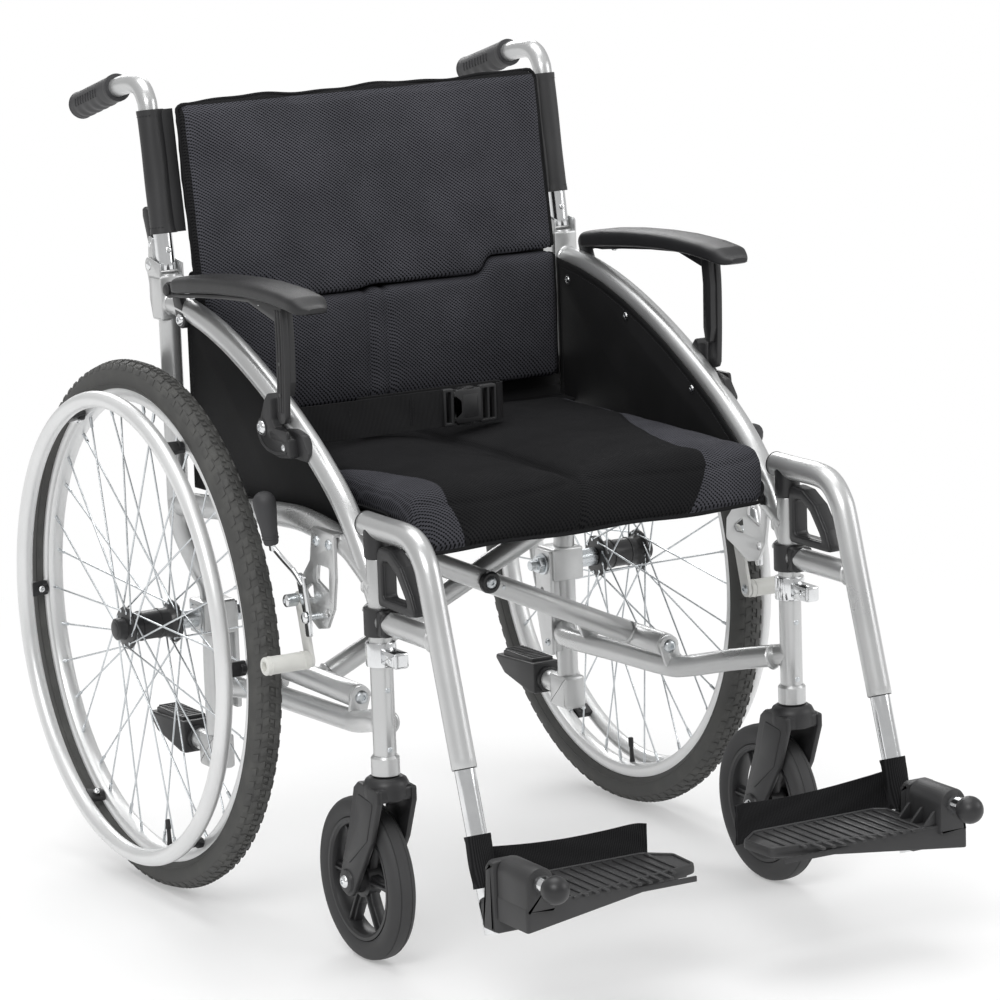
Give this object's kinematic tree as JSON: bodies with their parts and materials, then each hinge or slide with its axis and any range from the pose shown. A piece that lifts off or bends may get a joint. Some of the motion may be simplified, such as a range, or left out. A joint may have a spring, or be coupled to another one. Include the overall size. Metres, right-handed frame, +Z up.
{
  "type": "wheelchair",
  "caption": "Folding self-propelled wheelchair with cross-brace frame, half-folding back, flip-up armrests, swing-away footrests, spoked wheels, casters, brakes and lap belt.",
  "frame": {"origin": "middle of the footprint on the floor", "axes": "+Z up, the chair faces -Y, its right-hand side is -X"},
  "size_m": [0.7196, 1.122, 0.9246],
  "materials": {
    "silver_paint": "metallic silver paint, satin",
    "chrome": "polished",
    "zinc": "bright zinc plate",
    "black_plastic": "fine texture",
    "tyre_rubber": "matt",
    "grip_rubber": "satin",
    "black_nylon": "woven",
    "mesh_cloth": "spacer mesh",
    "cream_plastic": "moulded"
  },
  "bodies": {
    "frame_right": {"side_frame_right": "silver_paint", "skirt_guard_right": "black_nylon", "tipping_pad_right": "black_plastic", "axle_bolt_right": "zinc", "armrest_clamp_right": "black_plastic", "brake_bracket_right": "silver_paint", "back_cushion_lower": "mesh_cloth"},
    "wheel_right": {"rear_wheel_right": "silver_paint", "rear_tyre_right": "tyre_rubber", "handrim_right": "silver_paint"},
    "fork_right": {"caster_fork_right": "black_plastic"},
    "caster_right": {"caster_wheel_right": "black_plastic", "caster_tyre_right": "tyre_rubber"},
    "upper_back_right": {"back_cane_right": "silver_paint", "push_grip_right": "grip_rubber", "back_sleeve_right": "black_nylon", "back_cushion_upper": "mesh_cloth"},
    "latch_right": {"back_latch_right": "black_plastic"},
    "swing_hanger_right": {"hanger_right": "silver_paint"},
    "release_right": {"hanger_release_right": "black_plastic"},
    "footrest_right": {"footrest_tube_right": "chrome", "heel_strap_right": "black_nylon"},
    "plate_right": {"footplate_right": "black_plastic"},
    "armrest_right": {"armrest_pad_right": "black_plastic", "armrest_support_right": "black_plastic"},
    "brake_right": {"brake_lever_right": "chrome"},
    "shoe_right": {"brake_shoe_right": "cream_plastic"},
    "frame_left": {"side_frame_left": "silver_paint", "skirt_guard_left": "black_nylon", "tipping_pad_left": "black_plastic", "axle_bolt_left": "zinc", "armrest_clamp_left": "black_plastic", "brake_bracket_left": "silver_paint"},
    "wheel_left": {"rear_wheel_left": "silver_paint", "rear_tyre_left": "tyre_rubber", "handrim_left": "silver_paint"},
    "fork_left": {"caster_fork_left": "black_plastic"},
    "caster_left": {"caster_wheel_left": "black_plastic", "caster_tyre_left": "tyre_rubber"},
    "upper_back_left": {"back_cane_left": "silver_paint", "push_grip_left": "grip_rubber", "back_sleeve_left": "black_nylon"},
    "latch_left": {"back_latch_left": "black_plastic"},
    "swing_hanger_left": {"hanger_left": "silver_paint"},
    "release_left": {"hanger_release_left": "black_plastic"},
    "footrest_left": {"footrest_tube_left": "chrome", "heel_strap_left": "black_nylon"},
    "plate_left": {"footplate_left": "black_plastic"},
    "armrest_left": {"armrest_pad_left": "black_plastic", "armrest_support_left": "black_plastic"},
    "brake_left": {"brake_lever_left": "chrome"},
    "shoe_left": {"brake_shoe_left": "cream_plastic"},
    "rear_brace": {"brace_rear": "silver_paint", "brace_bolt": "black_plastic", "seat_sling": "black_nylon", "seat_cushion": "mesh_cloth", "belt_right": "black_nylon", "belt_left": "black_nylon", "buckle": "black_plastic"},
    "front_brace": {"brace_front": "silver_paint"}
  },
  "joints": [
    {"name": "fold", "type": "hinge", "parent": "frame_right", "child": "rear_brace", "pos_m": [-0.2, 0.046, 0.26], "axis": [0, -1, 0], "range_deg": [0, 56], "deforming": ["seat_sling", "seat_cushion", "belt_right", "belt_left", "buckle", "back_cushion_lower", "back_cushion_upper", "heel_strap_right", "heel_strap_left"]},
    {"name": "brace_cross", "type": "hinge", "parent": "rear_brace", "child": "front_brace", "pos_m": [0, 0.046, 0.352], "axis": [0, -1, 0], "range_deg": [-112, 0]},
    {"name": "left_side", "type": "hinge", "parent": "front_brace", "child": "frame_left", "pos_m": [0.2, 0.046, 0.26], "axis": [0, -1, 0], "range_deg": [0, 56]},
    {"name": "wheel_spin_right", "type": "hinge", "parent": "frame_right", "child": "wheel_right", "pos_m": [-0.312, 0.256, 0.305], "axis": [1, 0, 0], "continuous": true},
    {"name": "caster_swivel_right", "type": "hinge", "parent": "frame_right", "child": "fork_right", "pos_m": [-0.2595, -0.203, 0.2], "axis": [0, 0, 1], "continuous": true},
    {"name": "caster_spin_right", "type": "hinge", "parent": "fork_right", "child": "caster_right", "pos_m": [-0.2595, -0.151, 0.09], "axis": [1, 0, 0], "continuous": true},
    {"name": "back_fold_right", "type": "hinge", "parent": "frame_right", "child": "upper_back_right", "pos_m": [-0.2595, 0.294, 0.711], "axis": [-1, 0, 0], "range_deg": [0, 110]},
    {"name": "back_latch_right", "type": "hinge", "parent": "upper_back_right", "child": "latch_right", "pos_m": [-0.2595, 0.306, 0.73], "axis": [-1, 0, 0], "range_deg": [0, 15]},
    {"name": "hanger_swing_right", "type": "hinge", "parent": "frame_right", "child": "swing_hanger_right", "pos_m": [-0.2595, -0.203, 0.385], "axis": [0, 0, -1], "range_deg": [0, 95]},
    {"name": "hanger_release_right", "type": "hinge", "parent": "swing_hanger_right", "child": "release_right", "pos_m": [-0.2595, -0.259, 0.404], "axis": [0, -1, 0], "range_deg": [0, 15]},
    {"name": "footrest_slide_right", "type": "slide", "parent": "swing_hanger_right", "child": "footrest_right", "axis": [0, -0.3032, -0.9529], "range_m": [-0.05, 0.03]},
    {"name": "footplate_flip_right", "type": "hinge", "parent": "footrest_right", "child": "plate_right", "pos_m": [-0.255, -0.519, 0.167], "axis": [0, -1, 0], "range_deg": [0, 90]},
    {"name": "armrest_flip_right", "type": "hinge", "parent": "frame_right", "child": "armrest_right", "pos_m": [-0.277, 0.236, 0.69], "axis": [-1, 0, 0], "range_deg": [0, 80]},
    {"name": "brake_right", "type": "hinge", "parent": "frame_right", "child": "brake_right", "pos_m": [-0.289, -0.094, 0.372], "axis": [1, 0, 0], "range_deg": [0, 30]},
    {"name": "brake_shoe_right", "type": "hinge", "parent": "frame_right", "child": "shoe_right", "pos_m": [-0.2815, -0.062, 0.386], "axis": [1, 0, 0], "range_deg": [0, 17.1]},
    {"name": "wheel_spin_left", "type": "hinge", "parent": "frame_left", "child": "wheel_left", "pos_m": [0.312, 0.256, 0.305], "axis": [1, 0, 0], "continuous": true},
    {"name": "caster_swivel_left", "type": "hinge", "parent": "frame_left", "child": "fork_left", "pos_m": [0.2595, -0.203, 0.2], "axis": [0, 0, 1], "continuous": true},
    {"name": "caster_spin_left", "type": "hinge", "parent": "fork_left", "child": "caster_left", "pos_m": [0.2595, -0.151, 0.09], "axis": [1, 0, 0], "continuous": true},
    {"name": "back_fold_left", "type": "hinge", "parent": "frame_left", "child": "upper_back_left", "pos_m": [0.2595, 0.294, 0.711], "axis": [-1, 0, 0], "range_deg": [0, 110]},
    {"name": "back_latch_left", "type": "hinge", "parent": "upper_back_left", "child": "latch_left", "pos_m": [0.2595, 0.306, 0.73], "axis": [-1, 0, 0], "range_deg": [0, 15]},
    {"name": "hanger_swing_left", "type": "hinge", "parent": "frame_left", "child": "swing_hanger_left", "pos_m": [0.2595, -0.203, 0.385], "axis": [0, 0, 1], "range_deg": [0, 95]},
    {"name": "hanger_release_left", "type": "hinge", "parent": "swing_hanger_left", "child": "release_left", "pos_m": [0.2595, -0.259, 0.404], "axis": [0, 1, 0], "range_deg": [0, 15]},
    {"name": "footrest_slide_left", "type": "slide", "parent": "swing_hanger_left", "child": "footrest_left", "axis": [0, -0.3032, -0.9529], "range_m": [-0.05, 0.03]},
    {"name": "footplate_flip_left", "type": "hinge", "parent": "footrest_left", "child": "plate_left", "pos_m": [0.255, -0.519, 0.167], "axis": [0, 1, 0], "range_deg": [0, 90]},
    {"name": "armrest_flip_left", "type": "hinge", "parent": "frame_left", "child": "armrest_left", "pos_m": [0.277, 0.236, 0.69], "axis": [-1, 0, 0], "range_deg": [0, 80]},
    {"name": "brake_left", "type": "hinge", "parent": "frame_left", "child": "brake_left", "pos_m": [0.289, -0.094, 0.372], "axis": [1, 0, 0], "range_deg": [0, 30]},
    {"name": "brake_shoe_left", "type": "hinge", "parent": "frame_left", "child": "shoe_left", "pos_m": [0.2815, -0.062, 0.386], "axis": [1, 0, 0], "range_deg": [0, 17.1]}
  ],
  "couplings": [
    {"joint": "brace_cross", "follows": "fold", "ratio": -2},
    {"joint": "left_side", "follows": "fold", "ratio": 1},
    {"joint": "footplate_flip_right", "follows": "fold", "ratio": 1.6071},
    {"joint": "footplate_flip_left", "follows": "fold", "ratio": 1.6071},
    {"joint": "back_fold_left", "follows": "back_fold_right", "ratio": 1},
    {"joint": "brake_shoe_right", "follows": "brake_right", "ratio": 0.5667},
    {"joint": "brake_shoe_left", "follows": "brake_left", "ratio": 0.5667}
  ]
}
